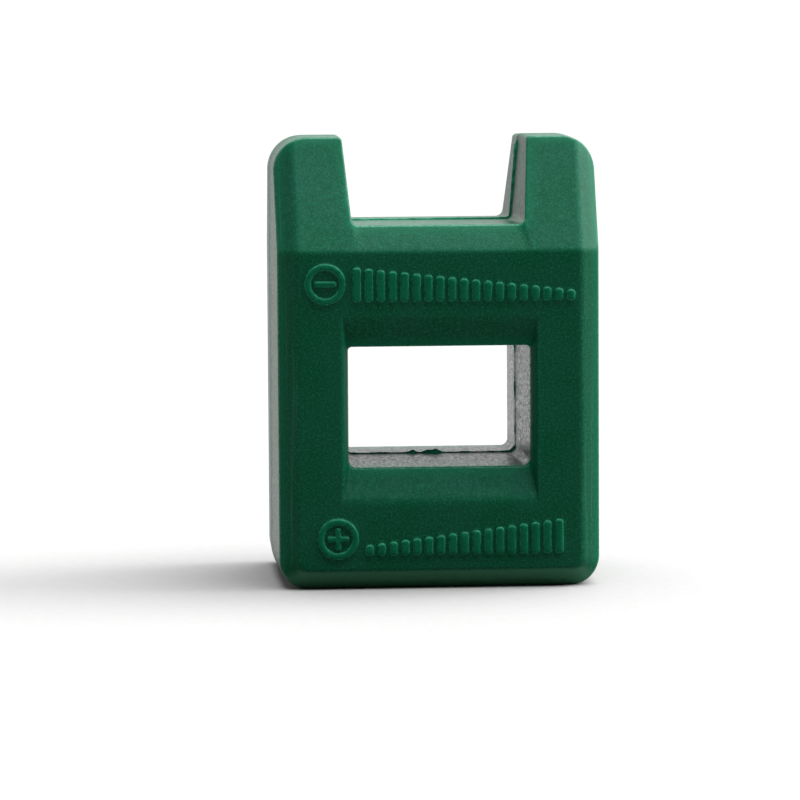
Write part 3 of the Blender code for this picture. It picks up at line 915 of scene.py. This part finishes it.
def build_shells(plastic):
    bm = shell_mesh(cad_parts["front_shell"])
    turned = bm.copy()
    bmesh.ops.rotate(turned, verts=turned.verts[:], matrix=Matrix.Rotation(math.pi, 3, "Z"))
    finish_piece("moulded_front_shell", bm, plastic, ["front_shell"])
    finish_piece("moulded_rear_shell", turned, plastic, ["rear_shell"])


def build_flash():
    plastic = thin_flash_painted_light()
    low = WINDOW_LOW + WINDOW_DRAFT * (FACE - FLARE_DEPTH)
    lumps = [(across, low, reach, height) for across, reach, height in WINDOW_LUMPS]
    add_flash("window_weld_flash", window_outline(), plastic, window_flash, WINDOW_RAG, WINDOW_SEED, lumps)
    add_flash("outer_weld_flash", case_outline(), plastic, notch_flash, OUTER_RAG, OUTER_SEED)


def build_stage():
    bpy.ops.mesh.primitive_circle_add(vertices=96, radius=FLOOR_RADIUS, fill_type="NGON")
    floor = bpy.context.object
    floor.name = "floor"
    floor.data.materials.append(floor_paper())


def add_sun(name, direction, strength, angle):
    """Very large, far softbox in a direction seen from the block, with its width as an angle in degrees."""
    data = bpy.data.lights.new(name, "SUN")
    data.energy = strength * math.pi
    data.angle = math.radians(angle)
    light = bpy.data.objects.new(name, data)
    light.rotation_euler = Vector(direction).to_track_quat("Z", "Y").to_euler()
    bpy.context.scene.collection.objects.link(light)


def build_lights():
    """Soft light from overhead and both sides, bright behind the block and dim behind the camera."""
    add_sun("overhead_softbox", direction=(0.28, 0.05, 1.0), strength=3.3, angle=70)
    add_sun("right_softbox", direction=(0.94, 0.12, 0.5), strength=1.6, angle=40)
    add_sun("left_softbox", direction=(-1.0, 0.2, 0.5), strength=0.08, angle=50)
    world = bpy.data.worlds.new("studio")
    world.use_nodes = True
    tree = world.node_tree
    direction = add_node(tree, "TexCoord").outputs["Generated"]
    glow = eased(tree, split(tree, direction)[1], *DIM_TO_BRIGHT, DIM, BRIGHT)
    tree.links.new(glow, tree.nodes["Background"].inputs["Strength"])
    tree.nodes["Background"].inputs["Color"].default_value = (1, 1, 1, 1)
    bpy.context.scene.world = world


def build_camera():
    """Camera a little left of and above the middle of the block, as it was photographed."""
    camera = bpy.data.objects.new("camera", bpy.data.cameras.new("camera"))
    data = camera.data
    data.sensor_width = 36.0
    data.lens = LENS
    data.clip_start = 0.01
    place, forward, up = CAMERA_PLACE, CAMERA_FORWARD, CAMERA_UP
    right = forward.cross(up)
    camera.matrix_world = Matrix((
        (right.x, up.x, -forward.x, place.x),
        (right.y, up.y, -forward.y, place.y),
        (right.z, up.z, -forward.z, place.z),
        (0, 0, 0, 1),
    ))
    bpy.context.scene.collection.objects.link(camera)
    bpy.context.scene.camera = camera


plastic = green_plastic()
build_shells(plastic)
build_flash()
dress_inside()
build_stage()
build_lights()
build_camera()
bpy.context.scene.view_settings.view_transform = "Standard"
